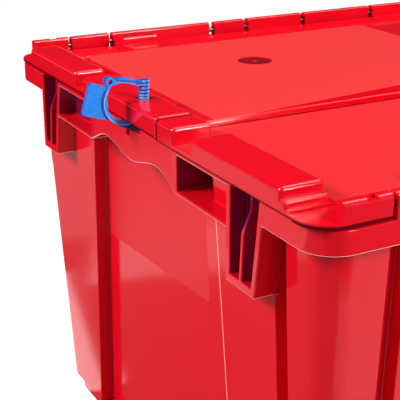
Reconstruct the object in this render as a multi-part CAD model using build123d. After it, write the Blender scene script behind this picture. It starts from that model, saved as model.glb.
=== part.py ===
from build123d import *
from math import cos, radians, sin
import os

os.makedirs("parts", exist_ok=True)

# Frame: origin at the bottom centre, X along the length, Y across, +Z up, millimetres.
# The far long side is +Y. Both lids are the same moulding, one turned half a turn.

# Overall size
length = 555.0
width = 386.0
rim_top = 260.0

# Container shell; shapes that cut or join another run past its face by the last value
wall = 2.8
corner_radius = 15.0
inset_high = 10.5
inset_low = 21.1
foot_inset = 25.5
foot_height = 8.0
step_top = 13.0
foot_ring = 5.5
foot_rounding = 2.5
foot_rib = 4.0
floor_thickness = 3.5
rim_band = 12.3
rim_plate = 2.0
rim_corner = 18.0
past = 1.0

# Recesses in the walls. The end panel widens towards the floor by a share of the height
# below the hand grips, more on its first side than on its second
panel_half = 80.3
panel_flare = (0.133, 0.046)
recess_depth = 8.7
end_groove_edge = 44.0
end_groove_width = 10.0
side_groove_edge = 46.5
side_groove_width = 11.0
side_panel_edge = 112.0
side_panel_middle = 25.5

# Hand grips, pockets and slot columns under the rim of each end. Each wave is an inset from the
# apron's edge and a rise above its lower line; each column is its outer edge and its width at the foot
apron_half = 59.0
apron_plate = 2.8
apron_drop = 24.0
apron_waves = ((4.0, 1.3), (12.0, 5.0), (21.0, 8.0))
apron_dip = 2.6
shelf_plate = 1.8
web_plate = 2.5
column_drop = 52.0
column_floor = 4.6
column_web = 3.9
column_top_width = 34.8
column_left = (144.5, 24.0)
column_right = (-111.8, 27.6)
column_depth = 14.0
slot_depth = 10.0
slot_rib = 2.4
slot_rib_step = 4.3
slot_rib_bend = (22.0, 10.0)

# Hinges
axis_rise = 7.0
axis_inset = 3.5
knuckle_height = 13.0
knuckle_depth = 6.5
knuckle_outer_rounding = 2.6
knuckle_inner_rounding = 1.4
rod_radius = 1.8
rod_clearance = 0.05
lid_cutout = 7.6
hinge_end = 11.6
widths = {"A": 26.0, "B": 30.0, "C": 82.2, "D": 27.0, "E": 50.5}
gaps = {"A": 2.5, "B": 3.0, "C": 5.0, "D": 3.5, "E": 3.5}
rod_inset = 2.0
knuckle_drop = 0.8
notch_width = 6.0
notch_depth = 1.7
notch_inset = 1.5
notch_offset = 2.5

# Lids. A raised block is where it starts from the middle and where it ends from the side; the
# hinge block is its two faces, measured from the end
plate_rise = 2.0
plate = 2.5
plateau_rise = 3.8
block_rise = 9.2
seam_gap = 0.5
tongue_reach = 41.5
lip_reach = 12.0
lip_side_gap = 4.0
lip_lift = 0.5
plateau_end = 33.5
plateau_side = 48.5
centre_strip = 7.0
plateau_corner = 9.0
block_width = 21.0
far_block = (81.0, 29.2)
near_block = (80.0, 28.0)
step_length = 3.6
step_rounding = 1.6
lobe_side = 22.0
lobe_end = 24.5
lobe_step = 1.1
hinge_block = (100.5, 71.5)
hinge_block_side = 27.0
hinge_block_rise = 8.6
hinge_block_swing = 13.0
tab_edge = 66.0
tab_reach = 1.5
end_reach = 3.0
end_seam = 38.0
finger_edge = 61.0
lobe_radius = 16.0
lobe_back = 2.0
edge_rounding = 2.4
gate_radius = 12.0
gate_depth = 0.5
gate_place = (-148.0, 75.0)

# Padlock seal; its routes are (x, z) from the container's end and the blocks' top
seal_y = 2.8
seal_depth = 3.4
pin_inset = 10.8
pin_radius = 2.2
seal_hole_radius = 2.7
seal_collar = 1.2
rib_count = 5
rib_pitch = 2.0
rib_height = 1.2
rib_low_radius = 3.2
rib_high_radius = 2.75
rib_lean = 1.0
ring_centre = (-10.6, 12.3)
ring_outer = 2.7
ring_hole = 1.5
arm_top = ((-8.8, 12.9), (-6.4, 13.5), (-3.5, 13.8), (2.8, 12.4), (10.8, 10.9))
arm_low = ((-8.4, 9.9), (-6.0, 10.5), (-3.5, 10.8), (2.4, 9.4), (10.8, 7.9))
strap_outer = (
    (-12.0, 11.4), (-13.6, 5.0), (-14.9, 1.3), (-14.6, -2.8), (-13.6, -5.9), (-11.9, -9.0),
    (-9.5, -11.4), (-6.4, -13.6), (-2.1, -15.6), (2.9, -17.5), (10.8, -19.4),
)
strap_inner = (
    (-9.2, 11.4), (-11.8, 5.8), (-12.9, 2.2), (-13.0, -0.7), (-12.3, -4.0), (-10.6, -6.9),
    (-8.2, -9.1), (-5.4, -10.8), (-3.0, -11.7), (-0.4, -12.4), (3.0, -13.4), (10.8, -16.0),
)
tag_corners = ((-22.6, 12.8), (-12.6, 9.8), (-11.8, -10.0), (-28.0, -5.0))
tag_corner_radius = 1.8
tag_thickness = 2.4
notch_half = 2.6
notch_drop = 7.5
notch_reach = 16.8
notch_shallow = 2.4

# Derived planes
x_end = length / 2
y_side = width / 2
draft = (inset_low - inset_high) / (rim_top - rim_band - step_top)
hinge_y = y_side - axis_inset
hinge_z = rim_top + axis_rise
plate_low = rim_top + plate_rise
plate_top = plate_low + plate
plateau_top = plate_top + plateau_rise
block_top = plate_top + block_rise
lobe_low = plate_low - knuckle_drop
pin_x = -x_end + pin_inset
front = -x_end
plateau_edge = y_side - plateau_side
column_foot = rim_top - column_drop
apron_low = rim_top - apron_drop
under_rim = rim_top - rim_plate / 2


def box(x0, x1, y0, y1, z0, z1):
    """A plain box between two corners."""
    size = (x1 - x0, y1 - y0, z1 - z0)
    return Pos((x0 + x1) / 2, (y0 + y1) / 2, (z0 + z1) / 2) * Box(*size)


def pad(x0, x1, y0, y1, z0, z1, corner, top):
    """A box whose upright edges are rounded by corner and whose upper edges by top."""
    solid = box(x0, x1, y0, y1, z0, z1)
    solid = fillet(solid.edges().filter_by(Axis.Z), corner)
    return fillet(solid.edges().group_by(Axis.Z)[-1], top)


def turned(shape):
    """The same shape turned half a turn about the upright axis."""
    return Rot(0, 0, 180) * shape


def both_ends(shape):
    """The shape and its half-turn copy."""
    return [shape, turned(shape)]


def rounded(inset, radius, z):
    """A rounded rectangle inside the rim outline, as a face at height z."""
    return Pos(0, 0, z) * RectangleRounded(length - 2 * inset, width - 2 * inset, radius)


def slab(inset, radius, z0, z1):
    """An upright slab with the plan of a rounded rectangle."""
    return extrude(rounded(inset, radius, z0), z1 - z0)


def wall_inset(z):
    """Distance from the rim plane to the wall's outer face at height z."""
    return inset_low - draft * (z - step_top)


def recessed_outline(z, grow):
    """The wall's plan at height z with all recesses, moved inwards by grow."""
    x0 = x_end - wall_inset(z) - grow
    y0 = y_side - wall_inset(z) - grow
    r = corner_radius - grow
    groove = x_end - side_groove_edge
    panel = x_end - side_panel_edge
    side = [
        (-groove, -groove + side_groove_width),
        (-panel, -side_panel_middle),
        (side_panel_middle, panel),
        (groove - side_groove_width, groove),
    ]
    end_groove = y_side - end_groove_edge
    sides = [panel_half + flare * (apron_low - z) for flare in panel_flare]
    end = [(-sides[0], sides[1]), (end_groove - end_groove_width, end_groove)]
    edges = []
    for sign in (1, -1):
        run = [(-x0 + r, -y0)]
        for a, b in side:
            run += [(a - grow, -y0), (a - grow, recess_depth - y0)]
            run += [(b + grow, recess_depth - y0), (b + grow, -y0)]
        run.append((x0 - r, -y0))
        rise = [(x0, -y0 + r)]
        for a, b in end:
            rise += [(x0, a - grow), (x0 - recess_depth, a - grow)]
            rise += [(x0 - recess_depth, b + grow), (x0, b + grow)]
        rise.append((x0, y0 - r))
        mid = r * (1 - cos(radians(45)))
        arcs = [
            [run[-1], (x0 - mid, -y0 + mid), rise[0]],
            [rise[-1], (x0 - mid, y0 - mid), (x0 - r, y0)],
        ]
        for chain in (run, rise):
            for start, stop in zip(chain, chain[1:]):
                ends = [(sign * px, sign * py, z) for px, py in (start, stop)]
                edges.append(Line(*ends))
            arc = [(sign * px, sign * py, z) for px, py in arcs.pop(0)]
            edges.append(ThreePointArc(*arc))
    return Face(Wire(edges))


def walls(z0, z1, grow):
    """The drafted body between two heights, moved inwards by grow."""
    return loft([recessed_outline(z0, grow), recessed_outline(z1, grow)], ruled=True)


def end_plate(points, x0, x1):
    """An upright plate between x0 and x1 whose outline is given as (y, z) points."""
    face = Face(Wire.make_polygon([(x0, y, z) for y, z in points], close=True))
    return extrude(face, x1 - x0, dir=(1, 0, 0))


def side_plate(points, y0, y1):
    """An upright plate between y0 and y1 whose outline is given as (x, z) points."""
    face = Face(Wire.make_polygon([(x, y0, z) for x, z in points], close=True))
    return extrude(face, y1 - y0, dir=(0, 1, 0))


def column_width(column, z):
    """A slot column's width at height z; it narrows towards its foot."""
    share = (z - column_foot) / (rim_top - column_foot)
    return column[1] + (column_top_width - column[1]) * share


def column_block(column, web, z0, z1, x0, x1):
    """A slot column's body between two heights, its sides moved inwards by web."""
    edge = column[0]
    top = edge - column_width(column, z1) + web
    low = edge - column_width(column, z0) + web
    return end_plate([(edge - web, z1), (top, z1), (low, z0), (edge - web, z0)], x0, x1)


def column_rib(column):
    """The upright rib in the middle of a slot, set back near the rim."""
    low = column[0] - column_width(column, column_foot) / 2
    top = column[0] - column_width(column, rim_top) / 2
    half = slot_rib / 2
    rib = end_plate([
        (low - half, column_foot), (low + half, column_foot),
        (top + half, rim_top), (top - half, rim_top),
    ], front, front + slot_depth + wall / 2)
    bend_low, bend_top = [rim_top - drop for drop in slot_rib_bend]
    return rib - side_plate([
        (front, bend_low), (front + slot_rib_step, bend_top), (front + slot_rib_step, rim_top + past),
        (front - past, rim_top + past), (front - past, bend_low),
    ], -y_side, y_side)


def knuckle(x0, x1, low):
    """A rounded hinge knuckle between x0 and x1 on the far side."""
    y0 = y_side - knuckle_depth
    solid = box(x0, x1, y0, y_side, low, rim_top + knuckle_height)
    along = solid.edges().filter_by(Axis.X)
    outer_top = along.group_by(Axis.Z)[-1].sort_by(Axis.Y)[-1]
    solid = fillet(outer_top, knuckle_outer_rounding)
    inner_top = solid.edges().filter_by(Axis.X).group_by(Axis.Z)[-1].sort_by(Axis.Y)[0]
    return fillet(inner_top, knuckle_inner_rounding)


def bore(radius, reach):
    """The cylinder of a hinge bore or rod on the far side."""
    return Pos(0, hinge_y, hinge_z) * Rot(0, 90, 0) * Cylinder(radius, 2 * reach)


# Hinge knuckle spans, worked from the end towards the middle
spans = {}
reach = x_end - hinge_end
for name in ("A", "B", "C", "D", "E"):
    spans[name] = (reach - widths[name], reach)
    reach = spans[name][0] - gaps[name]
centre_half = reach
rod_reach = x_end - hinge_end - rod_inset

# Container
outer = walls(step_top, rim_top - rim_plate, 0.0)
foot = slab(foot_inset, corner_radius, 0, foot_height)
foot = fillet(foot.edges().group_by(Axis.Z)[0], foot_rounding)
step = loft([
    rounded(foot_inset, corner_radius, foot_height),
    rounded(inset_low, corner_radius, step_top),
])
body = outer + [foot, step]
band_low = rim_top - rim_band
band = slab(0, rim_corner, band_low, rim_top)
band -= slab(wall, rim_corner - wall, band_low - past, rim_top - rim_plate)
window = box(
    front - past, front + wall + past,
    column_right[0] - column_top_width + column_web, column_left[0] - column_web,
    band_low - past, rim_top - rim_plate,
)
for shape in both_ends(window):
    band -= shape
body += band

wave = [(0, apron_low + apron_dip)]
for inset, rise in reversed(apron_waves):
    wave.append((apron_half - inset, apron_low + rise))
wave.append((apron_half, apron_low))
wave = [(-y, z) for y, z in reversed(wave[1:])] + wave
lower = Spline(*[(front, y, z) for y, z in wave])
upper = Polyline(
    (front, apron_half, apron_low), (front, apron_half, under_rim),
    (front, -apron_half, under_rim), (front, -apron_half, apron_low),
)
apron = extrude(Face(Wire([lower] + upper.edges())), apron_plate, dir=(1, 0, 0))
end_parts = [apron]
back = front + wall_inset(apron_low) + recess_depth + wall / 2
for sign in (1, -1):
    y0, y1 = sorted((sign * (apron_half - web_plate), sign * apron_half))
    end_parts.append(box(front, back, y0, y1, apron_low, under_rim))
    column_side = column_right[0]
    if sign > 0:
        column_side = column_left[0] - column_width(column_left, apron_low)
    y0, y1 = sorted((sign * (apron_half - web_plate), column_side + sign * web_plate))
    end_parts.append(box(front, back, y0, y1, apron_low, apron_low + shelf_plate))
for column in (column_left, column_right):
    end_parts.append(column_block(column, 0.0, column_foot, under_rim, front, front + column_depth))
for piece in end_parts:
    body += both_ends(piece)
for column in (column_left, column_right):
    slot = column_block(
        column, column_web, column_foot + column_floor, rim_top + past, front - past, front + slot_depth,
    )
    for shape in both_ends(slot):
        body -= shape
    body += both_ends(column_rib(column))

knuckle_spans = [(-centre_half, centre_half)]
for name in ("B", "D"):
    low, high = spans[name]
    knuckle_spans += [(low, high), (-high, -low)]
for low, high in knuckle_spans:
    body += both_ends(knuckle(low, high, under_rim))
body -= walls(step_top, rim_top + past, wall)
underside = slab(foot_inset + foot_ring, corner_radius - foot_ring, -past, step_top - floor_thickness)
underside -= box(-x_end, x_end, -foot_rib / 2, foot_rib / 2, -2 * past, step_top)
underside -= box(-foot_rib / 2, foot_rib / 2, -y_side, y_side, -2 * past, step_top)
for quarter in underside.solids():
    body -= quarter
for shape in both_ends(bore(rod_radius, rod_reach)):
    body -= shape
centre_notch = box(
    -notch_width, notch_width, y_side - knuckle_depth + notch_inset, y_side + past,
    rim_top + knuckle_height - notch_depth, rim_top + knuckle_height + past,
)
seal_notch = box(
    front - past, pin_x + notch_half, seal_y - notch_half, seal_y + notch_half,
    rim_top - notch_drop, rim_top + past,
)
side_notch = box(
    front - past, pin_x + notch_half, seal_y - notch_reach, seal_y,
    rim_top - notch_shallow, rim_top + past,
)
for cutter in (centre_notch, seal_notch, side_notch):
    for shape in both_ends(cutter):
        body -= shape
container = body

# Far lid
hinge_edge = hinge_y - lid_cutout
block_in = x_end - block_width
tongue_in = x_end - plateau_end
lip_in = tongue_in - lip_side_gap
lip_out = centre_strip + lip_side_gap
lip_edge = tongue_reach - lip_reach
a_low = spans["A"][0]
lobe_from = y_side - lobe_radius - lobe_back
ends = {-1: x_end, 1: x_end + end_reach}
outline = [
    (-x_end, -end_seam), (-block_in, -end_seam), (-block_in, -tongue_reach),
    (-seam_gap / 2, -tongue_reach), (-seam_gap / 2, tongue_reach + seam_gap),
    (lip_out, tongue_reach + seam_gap), (lip_out, lip_edge), (lip_in, lip_edge),
    (lip_in, tongue_reach + seam_gap), (block_in, tongue_reach + seam_gap),
    (block_in, end_seam + seam_gap), (ends[1], end_seam + seam_gap),
    (ends[1], y_side), (a_low, y_side), (a_low, hinge_edge),
    (-a_low, hinge_edge), (-a_low, y_side), (-x_end, y_side),
]
sheet = extrude(Face(Wire.make_polygon([(x, y, plate_low) for x, y in outline], close=True)), plate)
upright = sheet.edges().filter_by(Axis.Z)
far_edges = [edge for edge in upright if edge.center().Y > y_side - past]
corners = [edge for edge in far_edges if abs(edge.center().X) > x_end - past]
lid = fillet(corners, lobe_radius)
lid += pad(
    -tongue_in, -centre_strip, -tongue_reach, plateau_edge,
    plate_low, plateau_top, plateau_corner, edge_rounding,
)
strip = box(
    -block_in, -tongue_in + plateau_corner + edge_rounding, -tongue_reach, tab_edge - edge_rounding,
    plate_low, plateau_top,
)
front_top = strip.edges().filter_by(Axis.X).group_by(Axis.Z)[-1].sort_by(Axis.Y)[0]
lid += fillet(front_top, edge_rounding)
hinge_block_front = y_side - hinge_block_side
block_in_x, block_out_x = [x_end - inset for inset in hinge_block]
lid += pad(
    -block_out_x, -block_in_x, plateau_edge - plateau_corner, hinge_block_front + edge_rounding,
    plate_low, plateau_top, step_rounding, step_rounding,
)
for side in (-1, 1):
    x0, x1 = sorted((side * block_in_x, side * block_out_x))
    lid += pad(
        x0, x1, hinge_block_front, hinge_y - hinge_block_swing,
        plate_low, plate_top + hinge_block_rise, step_rounding, step_rounding,
    )
    x0, x1 = sorted((side * block_in_x, side * spans["C"][1]))
    lid += box(
        x0, x1, hinge_y - hinge_block_swing - step_rounding, y_side - knuckle_depth / 2,
        plate_low, plateau_top,
    )
    x0, x1 = sorted((side * ends[side], side * (x_end - lobe_end)))
    lid -= box(x0, x1, y_side - lobe_side, y_side + past, plate_top - lobe_step, plate_top + past)
    x0, x1 = sorted((side * a_low, side * ends[side]))
    corner = box(x0, x1, lobe_from, y_side, lobe_low, plate_low + plate / 2)
    outer_edges = corner.edges().filter_by(Axis.Z).group_by(Axis.Y)[-1].sort_by(Axis.X)
    lid += fillet(outer_edges[-1] if side > 0 else outer_edges[0], lobe_radius)
near_block_end = y_side - near_block[1]
lid += pad(
    block_in, ends[1], near_block_end - 2 * edge_rounding, near_block_end + step_length,
    plate_low, plateau_top, step_rounding, step_rounding,
)
raised = [
    (-1, x_end, far_block[0], y_side - far_block[1]), (-1, x_end + tab_reach, -end_seam, tab_edge),
    (1, ends[1], near_block[0], near_block_end), (1, ends[1], end_seam + seam_gap, finger_edge),
]
for side, reach, y0, y1 in raised:
    x0, x1 = sorted((side * reach, side * block_in))
    lid += pad(x0, x1, y0, y1, plate_low, block_top, edge_rounding, edge_rounding)
for side, reach, y0, y1 in raised:
    x0, x1 = sorted((side * (x_end - plate), side * (block_in + plate)))
    lid -= box(x0, x1, y0 + plate, y1 - plate, rim_top, block_top - plate)
lid -= box(
    -tongue_in + plate, -centre_strip - plate, -tongue_reach + plate, plateau_edge - plate,
    rim_top, plateau_top - plate,
)
lid -= box(
    -tongue_in + plate, -centre_strip - plate, -tongue_reach - past, past - lip_edge,
    rim_top, plate_top + lip_lift,
)
for name in ("A", "C", "E"):
    low, high = spans[name]
    for x0, x1 in ((low, high), (-high, -low)):
        lid += knuckle(x0, x1, lobe_low)
        lid += box(x0, x1, hinge_edge - past, y_side - knuckle_depth / 2, plate_low, plate_top)
lid -= bore(rod_radius + rod_clearance, rod_reach)
for side in (-1, 1):
    middle = side * (a_low + widths["A"] / 2 - notch_offset)
    lid -= box(
        middle - notch_width / 2, middle + notch_width / 2,
        y_side - knuckle_depth + notch_inset, y_side + past,
        rim_top + knuckle_height - notch_depth, rim_top + knuckle_height + past,
    )
lid -= Pos(gate_place[0], gate_place[1], plateau_top) * Cylinder(gate_radius, 2 * gate_depth)
lid -= Pos(pin_x, seal_y, block_top - plate / 2) * Cylinder(seal_hole_radius, 2 * plate)
far_lid = lid
near_lid = turned(lid)

# Hinge rods
far_hinge_rod = bore(rod_radius, rod_reach)
near_hinge_rod = turned(far_hinge_rod)

# Padlock seal: a flat loop in an upright plane, a tag outside and a pin through the tab
def seal_point(place):
    """A point of the seal's own plane as (x, z) in the shared frame."""
    return (front + place[0], block_top + place[1])


def standing(face, depth):
    """A face drawn in (x, z), stood upright and made depth thick about the seal's plane."""
    return Pos(0, seal_y, 0) * extrude(Plane.XZ * face, depth / 2, both=True)


def ribbon(one_side, other_side):
    """A strip between two smooth routes."""
    sides = [Spline(*[seal_point(place) for place in route]) for route in (one_side, other_side)]
    ends = [Line(sides[0] @ share, sides[1] @ share) for share in (0, 1)]
    return standing(make_face(sides + ends), seal_depth)


def disc(radius, depth):
    """A round plate of the seal's ring."""
    x, z = seal_point(ring_centre)
    return Pos(x, seal_y, z) * Rot(90, 0, 0) * Cylinder(radius, depth)


def pin_disc(radius, z, height):
    """A round slice of the pin that starts at height z."""
    return Pos(pin_x, seal_y, z) * Cylinder(radius, height, align=(Align.CENTER, Align.CENTER, Align.MIN))


pin_foot = block_top + strap_outer[-1][1]
pin_head = block_top + arm_top[-1][1]
seal = ribbon(arm_top, arm_low) + ribbon(strap_outer, strap_inner)
seal += pin_disc(pin_radius, pin_foot, pin_head - pin_foot)
seal += pin_disc(rib_low_radius, block_top, seal_collar)
for count in range(rib_count):
    share = count / (rib_count - 1)
    rib_radius = rib_low_radius + (rib_high_radius - rib_low_radius) * share
    rib = pin_disc(rib_radius, block_top + seal_collar / 2 + rib_pitch * (count + 0.5), rib_height)
    seal += Pos(rib_lean * share, 0, 0) * rib
tag_outline = Polyline(*[seal_point(place) for place in tag_corners], close=True)
tag = standing(make_face(tag_outline.edges()), tag_thickness)
outer_corners = tag.edges().filter_by(Axis.Y).sort_by(Axis.X)[:2]
seal += fillet(outer_corners, tag_corner_radius)
seal += disc(ring_outer, seal_depth)
seal -= disc(ring_hole, 3 * seal_depth)
padlock_seal = seal

nodes = {
    "container": container,
    "far_lid": far_lid,
    "near_lid": near_lid,
    "far_hinge_rod": far_hinge_rod,
    "near_hinge_rod": near_hinge_rod,
    "padlock_seal": padlock_seal,
}
for node, shape in nodes.items():
    export_step(shape, "parts/" + node + ".step")
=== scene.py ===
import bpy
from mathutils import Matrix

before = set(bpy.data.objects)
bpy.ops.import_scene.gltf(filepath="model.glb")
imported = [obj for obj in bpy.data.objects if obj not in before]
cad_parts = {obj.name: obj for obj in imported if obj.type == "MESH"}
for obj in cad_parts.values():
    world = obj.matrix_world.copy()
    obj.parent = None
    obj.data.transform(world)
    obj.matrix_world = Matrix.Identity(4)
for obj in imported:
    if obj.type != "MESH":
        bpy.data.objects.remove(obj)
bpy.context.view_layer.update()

from math import cos, radians, sin

import bpy
import numpy as np
from mathutils import Matrix, Vector

scene = bpy.context.scene
MM = 0.001

# Places on the tote in millimetres, in the shared frame. A box is its low and its high corner, and
# both_ends repeats one half a turn round. Angles are in degrees
END = 277.5
AREA_SOFT = 0.4

# Finely blasted areas of an end: the hand grip's apron, and the panel down to an edge that leans
APRON = ((-END, -54, 228), (-240, 54, 262))
PANEL = ((-258.2, -54, 150), (-240, 92, 262))
ABOVE_EDGE = ((-300, -300, 161.7), (300, 300, 300))
EDGE_LEAN = 3.18
# The painted highlight along the edge of an end's panel, which leans too, and the part with the rim,
# hand grip and slots
EDGE_HIGHLIGHT = ((-END, -92.5, 12), (-240, -91.15, 232))
EDGE_HIGHLIGHT_LEAN = 2.63
EDGE_HIGHLIGHT_SOFT = 0.25
UPPER_PART = ((-300, -200, 200), (300, 200, 262))
# Hollows of an end, painted dark as shade: two pockets beside the hand grip and two slots
HOLLOWS = [
    ((-277, 81, 238.4), (-265.2, 115, 257.5)),
    ((-277, -79.5, 238.4), (-256.5, -58.6, 257.5)),
    ((-276.5, 121, 212.7), (-267.2, 140.9, 257.5)),
    ((-276.5, -137, 212.7), (-267.2, -115.4, 257.5)),
]
# How far the painted shade in the hollows and the painted edge highlight cover the red
HOLLOW_SHADE_SHARE, EDGE_HIGHLIGHT_SHARE = 0.78, 0.75

# Finely blasted areas of the lids, and how pale a painted sheen makes each
PLATEAU = ((-244, -41, 265), (-7, 144, 269))
PLATEAU_SHEEN = 0.16
NEAR_PLATE = ((-254, -181, 255), (0, -41, 265))
NEAR_PLATE_SHEEN = 0.08
# The front of a plateau, which falls off along a line that leans away from the middle, and is painted
# deep red as shade
RAMP = ((-236, -60, 264.9), (-5, -15.83, 269))
RAMP_LEAN = 6.24
RAMP_DULLNESS = 0.8
# Gaps at an end, painted dark as shade: between the two lids' blocks, and round the seal's hole
GAPS = [((-282, -42.7, 255), (-258, -41, 275)), ((-270.6, -1.1, 272), (-262.8, 6.7, 275))]
GAP_SOFT = 0.25
GAP_SHADE_SHARE = 0.9
# Where the plastic was fed into a lid's mould: a disc with a nub in it
GATE = (-148, 75)
DISC_RADIUS = 11.8
NUB_RADIUS = 1.6
# A dark line of painted shade lies on a lid's sides up to the first height and ends at the second
SHADE_TOP, SHADE_END = 262.5, 262.9

# The seal: the groove of its leaning arm, the band of painted shade along its round strap and the
# painted highlight line beside that, each from one radius to another, and the ribs of its pin with the
# gaps between them
ARM_MIDDLE = (-275, 0, 284.65)
ARM_LEAN = 11.3
ARM_GROOVE = ((-9.5, -10, -0.7), (7.0, 10, 0.5))
STRAP_MIDDLE = (-278.5, 0, 273.2)
STRAP_PART = ((-17, -10, -19), (6, 10, 8))
STRAP_SHADE = (13.9, 15.3)
STRAP_HIGHLIGHT = (13.1, 13.8)
GROOVE_SOFT = 0.15
PIN = ((-272, -2, 276), (-262, 8, 285.4))
RIB_BOTTOM = 275.3
RIB_PITCH = 2.0
RIB_SHARE = 0.6

# Zones of the floor that glossy surfaces see lit: low and high corner in millimetres, how far the
# soft edge reaches either way, share of the light, and the zone's turn. Towards the camera the floor
# has a dark zone
LIT_ZONES = [
    ((-1500, 545), (2000, 2500), 12, 0.25, 28),
    ((-1500, 437), (-143, 552), 5, 0.5, 28),
    ((-229, 205), (-150, 425), 3, 1.3, 14),
    ((-330, -540), (1200, -260), 30, 1.0, 0),
]
DARK_ZONE = ((-1000, -1300), (1300, -555), 10, 1.0, 0)
# How bright the floor is by itself, to glossy surfaces in a lit zone and to the camera
GLOW_TO_GLOSSY, GLOW_TO_CAMERA = 0.7, 0.75


def linear(code):
    """sRGB hex code to linear RGBA."""
    parts = [int(code[i:i + 2], 16) / 255 for i in (1, 3, 5)]
    return [c / 12.92 if c <= 0.04045 else ((c + 0.055) / 1.055) ** 2.4 for c in parts] + [1.0]


def scale_of(size):
    """The scale of a pattern whose marks are size millimetres long."""
    return 1 / (size * MM)


def both_ends(boxes):
    """Boxes, and after them their copies half a turn round the upright axis."""
    copies = [((-high[0], -high[1], low[2]), (-low[0], -low[1], high[2])) for low, high in boxes]
    return boxes + copies


def add(tree, kind, links=None, **settings):
    """Adds a shader node with its settings; links maps its inputs to values or to other sockets."""
    node = tree.nodes.new(kind)
    for name, value in settings.items():
        setattr(node, name, value)
    for key, value in (links or {}).items():
        if isinstance(value, bpy.types.NodeSocket):
            tree.links.new(value, node.inputs[key])
        else:
            node.inputs[key].default_value = value
    return node


def material(name):
    """An empty node material with its output and Principled shader."""
    made = bpy.data.materials.new(name)
    made.use_nodes = True
    made.node_tree.nodes.clear()
    shader = add(made.node_tree, "ShaderNodeBsdfPrincipled")
    add(made.node_tree, "ShaderNodeOutputMaterial", {"Surface": shader.outputs["BSDF"]})
    return made, made.node_tree, shader


def folded(tree, operation, *values):
    """Shader values folded into one by an operation of two. For masks, MAXIMUM is where any of them
    is, and MULTIPLY is where all of them are."""
    result = values[0]
    for value in values[1:]:
        result = add(tree, "ShaderNodeMath", {0: result, 1: value}, operation=operation).outputs[0]
    return result


def coated(tree, colour, coats):
    """A colour under coats of other colours, each a share and an sRGB hex code, laid in their order."""
    for share, code in coats:
        colour = add(tree, "ShaderNodeMix", {
            "Factor": share, 6: colour, 7: linear(code),
        }, data_type="RGBA").outputs[2]
    return colour


def box_mask(tree, place, box, soft=AREA_SOFT):
    """1 inside a box and 0 outside it, with a soft edge that reaches soft millimetres either way."""
    split = add(tree, "ShaderNodeSeparateXYZ", {"Vector": place})
    return folded(tree, "MULTIPLY", *[
        add(tree, "ShaderNodeMapRange", {
            "Value": split.outputs[axis],
            "From Min": (edge - inward * soft) * MM,
            "From Max": (edge + inward * soft) * MM,
        }).outputs[0]
        for axis, low, high in zip("XYZ", *box)
        for edge, inward in ((low, 1), (high, -1))
    ])


def disc_mask(tree, place, centre, radius, soft=0.3):
    """1 within a radius of an upright line through centre and 0 beyond it, with a soft edge."""
    flat = add(tree, "ShaderNodeMapping", {
        "Vector": place, "Location": (-centre[0] * MM, -centre[1] * MM, 0.0), "Scale": (1.0, 1.0, 0.0),
    })
    away = add(tree, "ShaderNodeVectorMath", {0: flat.outputs[0]}, operation="LENGTH").outputs["Value"]
    return add(tree, "ShaderNodeMapRange", {
        "Value": away, "From Min": (radius + soft) * MM, "From Max": (radius - soft) * MM,
    }).outputs[0]


def rippled(tree, place):
    """The skin of a big moulding, which waves by a few hundredths of a millimetre every 25 mm."""
    wave = add(tree, "ShaderNodeTexNoise", {"Vector": place, "Scale": scale_of(25), "Detail": 1.0})
    return add(tree, "ShaderNodeBump", {
        "Height": wave.outputs[0], "Strength": 0.06, "Distance": 1.0 * MM,
    }).outputs[0]


def red_moulding(tree, shader, place, normal, matte, coats, matte_roughness):
    """Injection-moulded polypropylene: a glossy skin over deep red with faint flow marks. It is matte
    and fine-grained where the mould was blasted, by the share matte, and lies under coats of colour."""
    # flow marks of about 60 mm
    flow = add(tree, "ShaderNodeTexNoise", {
        "Vector": place, "Scale": scale_of(62.5), "Detail": 3.0, "Roughness": 0.5,
    }).outputs[0]
    colour = coated(tree, linear("#D7081D"), [(flow, "#E20B21")] + coats)
    gloss = add(tree, "ShaderNodeMapRange", {"Value": flow, "To Min": 0.07, "To Max": 0.16})
    rough = add(tree, "ShaderNodeMix", {"Factor": matte, 2: gloss.outputs[0], 3: matte_roughness})
    # blasted texture, real grain 0.3 mm drawn at 0.8 mm so that it shows
    grain = add(tree, "ShaderNodeTexNoise", {"Vector": place, "Scale": scale_of(0.8), "Detail": 1.0})
    blasted = add(tree, "ShaderNodeBump", {
        "Height": folded(tree, "MULTIPLY", grain.outputs[0], matte),
        "Strength": 0.25, "Distance": 0.3 * MM, "Normal": normal,
    })
    tree.links.new(colour, shader.inputs["Base Color"])
    tree.links.new(rough.outputs[0], shader.inputs["Roughness"])
    tree.links.new(blasted.outputs[0], shader.inputs["Normal"])
    shader.inputs["IOR"].default_value = 1.49


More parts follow.
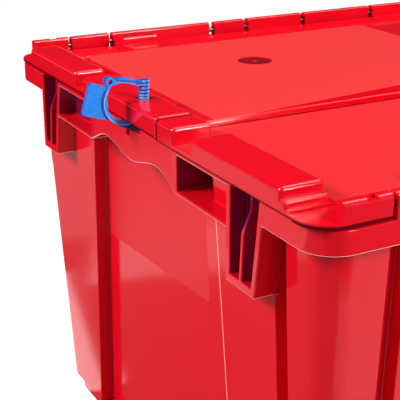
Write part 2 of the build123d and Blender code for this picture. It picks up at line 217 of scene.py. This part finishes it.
def container_plastic():
    """Red moulded polypropylene of the container. Its aprons and end panels are matte, its hollows are
    painted dark as shade, and pale painted highlights lie along the edges of the panels and on the
    rounded lower edges further up."""
    made, tree, shader = material("moulded_polypropylene_container")
    coordinates = add(tree, "ShaderNodeTexCoord").outputs
    place = coordinates["Object"]
    facing = add(tree, "ShaderNodeSeparateXYZ", {"Vector": coordinates["Normal"]}).outputs
    matte = [box_mask(tree, place, box) for box in both_ends([APRON])]
    for box, lean in zip(both_ends([PANEL]), (EDGE_LEAN, -EDGE_LEAN)):
        leaned = add(tree, "ShaderNodeMapping", {"Vector": place, "Rotation": (radians(lean), 0.0, 0.0)})
        above = box_mask(tree, leaned.outputs[0], ABOVE_EDGE)
        matte.append(folded(tree, "MULTIPLY", box_mask(tree, place, box), above))
    # painted highlight: a pale line along the edge of each end's panel, on its outer face
    edge_highlights = []
    for box, lean in zip(both_ends([EDGE_HIGHLIGHT]), (EDGE_HIGHLIGHT_LEAN, -EDGE_HIGHLIGHT_LEAN)):
        leaned = add(tree, "ShaderNodeMapping", {"Vector": place, "Rotation": (radians(lean), 0.0, 0.0)})
        edge_highlights.append(box_mask(tree, leaned.outputs[0], box, EDGE_HIGHLIGHT_SOFT))
    # the outer face of an end faces away from the middle
    along = add(tree, "ShaderNodeSeparateXYZ", {"Vector": place}).outputs["X"]
    outward = add(tree, "ShaderNodeMapRange", {
        "Value": folded(tree, "MULTIPLY", along, facing["X"]), "From Min": 0.1, "From Max": 0.2,
    }).outputs[0]
    # a rounded lower edge faces down, but not straight down, and gets a pale painted highlight
    downward = add(tree, "ShaderNodeMapRange", {
        "Value": facing["Z"], "From Min": -0.2, "From Max": -0.4,
    }).outputs[0]
    slanting = add(tree, "ShaderNodeMapRange", {
        "Value": facing["Z"], "From Min": -0.97, "From Max": -0.85,
    }).outputs[0]
    upper = box_mask(tree, place, UPPER_PART, soft=1.0)
    # painted shade: the hollows are darkened towards dark purple
    hollow_shade = folded(tree, "MAXIMUM", *[box_mask(tree, place, box) for box in both_ends(HOLLOWS)])
    # coats: painted shade in the hollows, a painted highlight along the panels' edges and a painted
    # highlight on rounded lower edges
    coats = [
        (folded(tree, "MULTIPLY", hollow_shade, HOLLOW_SHADE_SHARE), "#480C42"),
        (folded(tree, "MULTIPLY", folded(tree, "MAXIMUM", *edge_highlights), outward, EDGE_HIGHLIGHT_SHARE), "#FFB4AC"),
        (folded(tree, "MULTIPLY", downward, slanting, upper), "#FFDCD6"),
    ]
    matte = folded(tree, "MAXIMUM", *matte)
    red_moulding(tree, shader, place, rippled(tree, place), matte, coats, matte_roughness=0.42)
    return made


def lid_plastic():
    """Red moulded polypropylene of the lids. On top, the plateaus and the near plate are matte with a
    pale painted sheen, the fronts of the plateaus are plain and painted deep red as shade, and each gate
    is a glossy disc with a nub, painted darker as the dark reflection of its gloss.
    The gaps are painted dark as shade, and a dark line of painted shade, with a duller reflection, lies
    low on the sides."""
    made, tree, shader = material("moulded_polypropylene_lid")
    coordinates = add(tree, "ShaderNodeTexCoord").outputs
    place = coordinates["Object"]
    upward = add(tree, "ShaderNodeSeparateXYZ", {"Vector": coordinates["Normal"]}).outputs["Z"]
    on_top = add(tree, "ShaderNodeMapRange", {
        "Value": upward, "From Min": 0.3, "From Max": 0.6,
    }).outputs[0]
    # painted shade: the front of each plateau is painted deep red
    turned = add(tree, "ShaderNodeMapping", {
        "Vector": place, "Rotation": (0.0, 0.0, radians(-RAMP_LEAN)),
    }).outputs[0]
    ramp_shade = folded(tree, "MAXIMUM", *[box_mask(tree, turned, box) for box in both_ends([RAMP])])
    off_ramp = add(tree, "ShaderNodeMath", {0: 1.0, 1: ramp_shade}, operation="SUBTRACT").outputs[0]
    areas = [
        folded(tree, "MULTIPLY", box_mask(tree, place, box), on_top, off_ramp)
        for box in both_ends([PLATEAU]) + [NEAR_PLATE]
    ]
    # painted sheen: the matte areas on top are painted pale
    sheens = (PLATEAU_SHEEN, PLATEAU_SHEEN, NEAR_PLATE_SHEEN)
    pale_painted_light = [folded(tree, "MULTIPLY", area, haze) for area, haze in zip(areas, sheens)]
    # painted shade: the gaps are darkened
    gap_shade = [box_mask(tree, place, box, GAP_SOFT) for box in both_ends(GAPS)]
    disc, nub = [
        folded(tree, "MAXIMUM", *[
            disc_mask(tree, place, centre, radius) for centre in (GATE, (-GATE[0], -GATE[1]))
        ])
        for radius in (DISC_RADIUS, NUB_RADIUS)
    ]
    matte = add(tree, "ShaderNodeMath", {
        0: folded(tree, "MAXIMUM", *areas), 1: disc,
    }, operation="SUBTRACT", use_clamp=True).outputs[0]
    # painted dark reflection: the gate's disc round its nub is painted darker
    painted_dark_disc = add(tree, "ShaderNodeMath", {
        0: disc, 1: nub,
    }, operation="SUBTRACT", use_clamp=True).outputs[0]
    # painted shade: a dark line low on the lid's sides
    height = add(tree, "ShaderNodeSeparateXYZ", {"Vector": place}).outputs["Z"]
    low = add(tree, "ShaderNodeMapRange", {
        "Value": height, "From Min": SHADE_END * MM, "From Max": SHADE_TOP * MM,
    }).outputs[0]
    not_under = add(tree, "ShaderNodeMapRange", {
        "Value": upward, "From Min": -0.8, "From Max": -0.5,
    }).outputs[0]
    low_shade = folded(tree, "MULTIPLY", low, not_under)
    # coats: painted shade on the plateaus' fronts, painted sheen, painted shade in the gaps, the gate's
    # painted dark reflection and painted shade low on the sides
    coats = [
        (ramp_shade, "#D40016"),
        (folded(tree, "MAXIMUM", *pale_painted_light), "#FF7A66"),
        (folded(tree, "MULTIPLY", folded(tree, "MAXIMUM", *gap_shade), GAP_SHADE_SHARE), "#3A0510"),
        (folded(tree, "MULTIPLY", painted_dark_disc, on_top), "#8E0A1C"),
        (low_shade, "#5A0712"),
    ]
    raised = add(tree, "ShaderNodeBump", {
        "Height": folded(tree, "MULTIPLY", nub, on_top),
        "Strength": 1.0, "Distance": 0.8 * MM, "Normal": rippled(tree, place),
    }).outputs[0]
    red_moulding(tree, shader, place, raised, matte, coats, matte_roughness=0.38)
    dull = folded(tree, "MAXIMUM", low_shade, folded(tree, "MULTIPLY", ramp_shade, RAMP_DULLNESS))
    shine = add(tree, "ShaderNodeMapRange", {"Value": dull, "To Min": 0.5, "To Max": 0.05})
    tree.links.new(shine.outputs[0], shader.inputs["Specular IOR Level"])
    return made


def drawn_steel():
    """Drawn and oiled steel wire of the hinge rods: dark grey, with fine lines along the rod. The real
    lines are finer, and these are about 0.4 mm apart and 50 mm long so that they show."""
    made, tree, shader = material("drawn_steel_wire")
    place = add(tree, "ShaderNodeTexCoord").outputs["Object"]
    stretch = add(tree, "ShaderNodeMapping", {
        "Vector": place, "Scale": (scale_of(50), scale_of(0.4), scale_of(0.4)),
    })
    lines = add(tree, "ShaderNodeTexNoise", {"Vector": stretch.outputs[0], "Scale": 1.0, "Detail": 2.0})
    rough = add(tree, "ShaderNodeMapRange", {"Value": lines.outputs[0], "To Min": 0.22, "To Max": 0.4})
    tree.links.new(rough.outputs[0], shader.inputs["Roughness"])
    shader.inputs["Base Color"].default_value = linear("#5E5F62")
    shader.inputs["Metallic"].default_value = 1.0
    return made


def seal_plastic():
    """Moulded polypropylene of the seal: glossy blue. Its broad faces are mid blue, its rounded edges
    are painted pale as highlights, and its narrow sides, its grooves and the gaps between its pin's ribs
    are painted deep blue as shade."""
    made, tree, shader = material("seal_polypropylene")
    coordinates = add(tree, "ShaderNodeTexCoord").outputs
    place = coordinates["Object"]
    across = add(tree, "ShaderNodeSeparateXYZ", {"Vector": coordinates["Normal"]}).outputs["Y"]
    facing = add(tree, "ShaderNodeMath", {0: across}, operation="ABSOLUTE").outputs[0]
    # painted highlight: the rounded edges between broad faces and sides are painted pale
    edge = add(tree, "ShaderNodeMapRange", {
        "Value": facing, "From Min": 0.97, "From Max": 0.85,
    }).outputs[0]
    # painted shade: the narrow sides are painted deep blue
    side_shade = add(tree, "ShaderNodeMapRange", {
        "Value": facing, "From Min": 0.5, "From Max": 0.2,
    }).outputs[0]
    # the groove along the arm, painted deep blue as shade
    arm = add(tree, "ShaderNodeMapping", {
        "Vector": place, "Location": [-part * MM for part in ARM_MIDDLE],
    }).outputs[0]
    arm = add(tree, "ShaderNodeMapping", {
        "Vector": arm, "Rotation": (0.0, radians(-ARM_LEAN), 0.0),
    }).outputs[0]
    arm_groove_shade = box_mask(tree, arm, ARM_GROOVE, GROOVE_SOFT)
    # painted shade and a pale painted highlight line round the strap
    strap = add(tree, "ShaderNodeMapping", {
        "Vector": place, "Location": [-part * MM for part in STRAP_MIDDLE], "Scale": (1.0, 0.0, 1.0),
    }).outputs[0]
    away = add(tree, "ShaderNodeVectorMath", {0: strap}, operation="LENGTH").outputs["Value"]
    strap_part = box_mask(tree, strap, STRAP_PART, soft=0.5)
    strap_shade, strap_highlight = [
        folded(tree, "MULTIPLY", *[
            add(tree, "ShaderNodeMapRange", {
                "Value": away,
                "From Min": (radius - inward * GROOVE_SOFT) * MM,
                "From Max": (radius + inward * GROOVE_SOFT) * MM,
            }).outputs[0]
            for radius, inward in ((inner, 1), (outer, -1))
        ], strap_part)
        for inner, outer in (STRAP_SHADE, STRAP_HIGHLIGHT)
    ]
    # the gaps between the pin's ribs, painted deep blue as shade
    height = add(tree, "ShaderNodeSeparateXYZ", {"Vector": place}).outputs["Z"]
    ribs = add(tree, "ShaderNodeMath", {
        0: height, 1: scale_of(RIB_PITCH), 2: -RIB_BOTTOM / RIB_PITCH,
    }, operation="MULTIPLY_ADD").outputs[0]
    part = add(tree, "ShaderNodeMath", {0: ribs}, operation="FRACT").outputs[0]
    between = add(tree, "ShaderNodeMath", {0: part, 1: RIB_SHARE}, operation="GREATER_THAN").outputs[0]
    rib_gap_shade = folded(tree, "MULTIPLY", between, box_mask(tree, place, PIN, soft=0.1))
    # clouds of about 3.3 mm
    cloud = add(tree, "ShaderNodeTexNoise", {
        "Vector": place, "Scale": scale_of(10 / 3), "Detail": 2.0,
    }).outputs[0]
    # painted highlights in pale blue and painted shade in deep blue over the mid blue
    pale_painted_light = folded(tree, "MAXIMUM", edge, strap_highlight)
    deep_shade = folded(tree, "MAXIMUM", side_shade, arm_groove_shade, strap_shade, rib_gap_shade)
    colour = coated(tree, linear("#0686F0"), [(cloud, "#189AFF"), (pale_painted_light, "#8CC8FF"), (deep_shade, "#0A50BE")])
    sunk = add(tree, "ShaderNodeBump", {
        "Height": folded(tree, "MULTIPLY", deep_shade, -1.0), "Strength": 0.5, "Distance": 0.4 * MM,
    })
    rough = add(tree, "ShaderNodeMapRange", {"Value": cloud, "To Min": 0.18, "To Max": 0.34})
    tree.links.new(colour, shader.inputs["Base Color"])
    tree.links.new(sunk.outputs[0], shader.inputs["Normal"])
    tree.links.new(rough.outputs[0], shader.inputs["Roughness"])
    shader.inputs["IOR"].default_value = 1.49
    return made


def floor_zone(tree, place, low, high, soft, share, angle):
    """share on a rectangle of the floor that is turned by an angle, 0 beyond its soft edge. The box
    behind it reaches 10 mm above and below the floor."""
    turned = add(tree, "ShaderNodeMapping", {"Vector": place, "Rotation": (0.0, 0.0, radians(-angle))})
    inside = box_mask(tree, turned.outputs[0], ((*low, -10), (*high, 10)), soft)
    return folded(tree, "MULTIPLY", inside, share)


def white_paper():
    """Matte white paper of the studio's floor. Glossy surfaces see it white in the lit zones only,
    grey elsewhere and darker towards the camera, while the camera sees it white with a soft shadow."""
    made, tree, shader = material("white_paper")
    place = add(tree, "ShaderNodeTexCoord").outputs["Object"]
    lit = folded(tree, "MAXIMUM", *[floor_zone(tree, place, *zone) for zone in LIT_ZONES])
    dark = floor_zone(tree, place, *DARK_ZONE)
    eye = add(tree, "ShaderNodeLightPath").outputs
    unlit = add(tree, "ShaderNodeMath", {0: 1.0, 1: lit}, operation="SUBTRACT").outputs[0]
    grey = coated(tree, linear("#5C5C5C"), [(dark, "#202020")])
    tone = add(tree, "ShaderNodeMix", {
        "Factor": folded(tree, "MULTIPLY", eye["Is Glossy Ray"], unlit), 6: linear("#B0B0B0"), 7: grey,
    }, data_type="RGBA")
    glow = add(tree, "ShaderNodeMath", {
        0: folded(tree, "MULTIPLY", eye["Is Glossy Ray"], lit), 1: GLOW_TO_GLOSSY,
        2: folded(tree, "MULTIPLY", eye["Is Camera Ray"], GLOW_TO_CAMERA),
    }, operation="MULTIPLY_ADD").outputs[0]
    lift = add(tree, "ShaderNodeEmission", {"Color": (1, 1, 1, 1), "Strength": glow})
    lifted = add(tree, "ShaderNodeAddShader", {0: shader.outputs["BSDF"], 1: lift.outputs[0]})
    tree.links.new(tone.outputs[2], shader.inputs["Base Color"])
    tree.links.new(lifted.outputs[0], tree.nodes["Material Output"].inputs["Surface"])
    shader.inputs["Roughness"].default_value = 0.8
    return made


# Camera, as fitted to the photograph's edges: its place in millimetres, its lens in pixels
YAW, PITCH, ROLL = radians(28.341), radians(20.396), radians(0.144)
CAMERA_PLACE = (-515.54, -526.74, 428.12)
LENS_PIXELS = 1044.96
PHOTO_PIXELS = 400
SENSOR = 36.0
forward = Vector((sin(YAW) * cos(PITCH), cos(YAW) * cos(PITCH), -sin(PITCH)))
level = forward.cross(Vector((0, 0, 1))).normalized()
down = forward.cross(level).normalized()
right = level * cos(ROLL) + down * sin(ROLL)
below = down * cos(ROLL) - level * sin(ROLL)
camera_data = bpy.data.cameras.new("studio_camera")
camera_data.sensor_width = SENSOR
camera_data.lens = LENS_PIXELS / PHOTO_PIXELS * SENSOR
camera_data.clip_start = 0.01
camera_data.clip_end = 50.0
camera = bpy.data.objects.new("studio_camera", camera_data)
scene.collection.objects.link(camera)
turn = Matrix((right, -below, -forward)).transposed()
camera.matrix_world = Matrix.Translation(Vector(CAMERA_PLACE) * MM) @ turn.to_4x4()
scene.camera = camera

# Studio: white all round to the camera and through glass, to glossy surfaces white along the horizon
# only, and dim light from everywhere else
DIM, DIM_TO_GLOSSY = 0.18, 0.015
scene.view_settings.view_transform = "Standard"
world = bpy.data.worlds.new("white_studio")
world.use_nodes = True
scene.world = world
sky = world.node_tree
sky.nodes.clear()
rays = add(sky, "ShaderNodeLightPath").outputs
way = add(sky, "ShaderNodeTexCoord").outputs["Generated"]
climb = add(sky, "ShaderNodeSeparateXYZ", {"Vector": way}).outputs["Z"]
off_level = add(sky, "ShaderNodeMath", {0: climb}, operation="ABSOLUTE").outputs[0]
horizon = add(sky, "ShaderNodeMapRange", {
    "Value": off_level, "From Min": 0.02, "From Max": 0.06, "To Min": 1.0, "To Max": 0.0,
}).outputs[0]
mirrored = folded(sky, "MULTIPLY", rays["Is Glossy Ray"], horizon)
shown = folded(sky, "MAXIMUM", rays["Is Camera Ray"], mirrored, rays["Is Transmission Ray"])
ambient = add(sky, "ShaderNodeMath", {
    0: rays["Is Glossy Ray"], 1: DIM_TO_GLOSSY - DIM, 2: DIM,
}, operation="MULTIPLY_ADD").outputs[0]
dim = add(sky, "ShaderNodeBackground", {"Color": (1, 1, 1, 1), "Strength": ambient})
white = add(sky, "ShaderNodeBackground", {"Color": (1, 1, 1, 1), "Strength": 1.0})
blend = add(sky, "ShaderNodeMixShader", {0: shown, 1: dim.outputs[0], 2: white.outputs[0]})
add(sky, "ShaderNodeOutputWorld", {"Surface": blend.outputs[0]})

# Lamps: square softboxes aimed at the tote's middle, each with its place and size in metres and its
# power in watts
AIM = Vector((0, 0, 0.15))
for name, place, size, power in (
    ("softbox_left", (-2.2, 0.75, 1.6), 0.8, 71),
    ("softbox_right", (0.75, -2.2, 1.6), 0.8, 67),
    ("softbox_above", (0.95, 0.1, 2.1), 1.3, 23),
):
    data = bpy.data.lights.new(name, "AREA")
    data.shape = "SQUARE"
    data.size = size
    data.energy = power
    lamp = bpy.data.objects.new(name, data)
    lamp.location = place
    lamp.rotation_euler = (AIM - Vector(place)).to_track_quat("-Z", "Y").to_euler()
    scene.collection.objects.link(lamp)

# Floor: a flat rectangle of paper, its corners in metres, for the tote's own shadow
corners = np.array([[-1.0, -1.2, 0], [1.2, -1.2, 0], [1.2, 0.7, 0], [-1.0, 0.7, 0]])
floor_mesh = bpy.data.meshes.new("floor")
floor_mesh.from_pydata(corners.tolist(), [], [(0, 1, 2, 3)])
floor_mesh.materials.append(white_paper())
floor = bpy.data.objects.new("floor", floor_mesh)
scene.collection.objects.link(floor)

# Smooth shading of every face, as a modifier's node group
smooth = bpy.data.node_groups.new("smooth_shading", "GeometryNodeTree")
smooth.interface.new_socket("Geometry", in_out="INPUT", socket_type="NodeSocketGeometry")
smooth.interface.new_socket("Geometry", in_out="OUTPUT", socket_type="NodeSocketGeometry")
faces = add(smooth, "NodeGroupInput")
shaded = add(smooth, "GeometryNodeSetShadeSmooth", {"Geometry": faces.outputs[0]})
add(smooth, "NodeGroupOutput", {0: shaded.outputs[0]})


def soften(solid, width, clamp):
    """Gives a solid the rounded edges of a moulding: its triangles are welded, flat ones joined, and
    every edge sharper than 50 degrees becomes a small fillet, while wide faces stay flat."""
    weld = solid.modifiers.new("weld", "WELD")
    weld.merge_threshold = 0.001 * MM
    flats = solid.modifiers.new("flats", "DECIMATE")
    flats.decimate_type = "DISSOLVE"
    flats.angle_limit = radians(0.05)
    fillet = solid.modifiers.new("fillet", "BEVEL")
    fillet.width = width * MM
    fillet.segments = 2
    fillet.limit_method = "ANGLE"
    fillet.angle_limit = radians(50)
    fillet.use_clamp_overlap = clamp
    solid.modifiers.new("smooth", "NODES").node_group = smooth
    weight = solid.modifiers.new("weight", "WEIGHTED_NORMAL")
    weight.mode = "FACE_AREA"
    weight.weight = 100


# Rounded edges: each moulding's fillet in millimetres, and whether it shrinks where edges are close
for node, width, clamp in (
    ("container", 0.7, False),
    ("far_lid", 0.8, True),
    ("near_lid", 0.8, True),
    ("padlock_seal", 0.3, True),
):
    soften(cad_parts[node], width, clamp)

# Materials onto the solids
red_container = container_plastic()
red_lid = lid_plastic()
wire = drawn_steel()
blue = seal_plastic()
for node, finish in (
    ("container", red_container),
    ("far_lid", red_lid),
    ("near_lid", red_lid),
    ("far_hinge_rod", wire),
    ("near_hinge_rod", wire),
    ("padlock_seal", blue),
):
    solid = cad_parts[node]
    for slot in solid.material_slots:
        slot.material = finish
    if not solid.material_slots:
        solid.data.materials.append(finish)
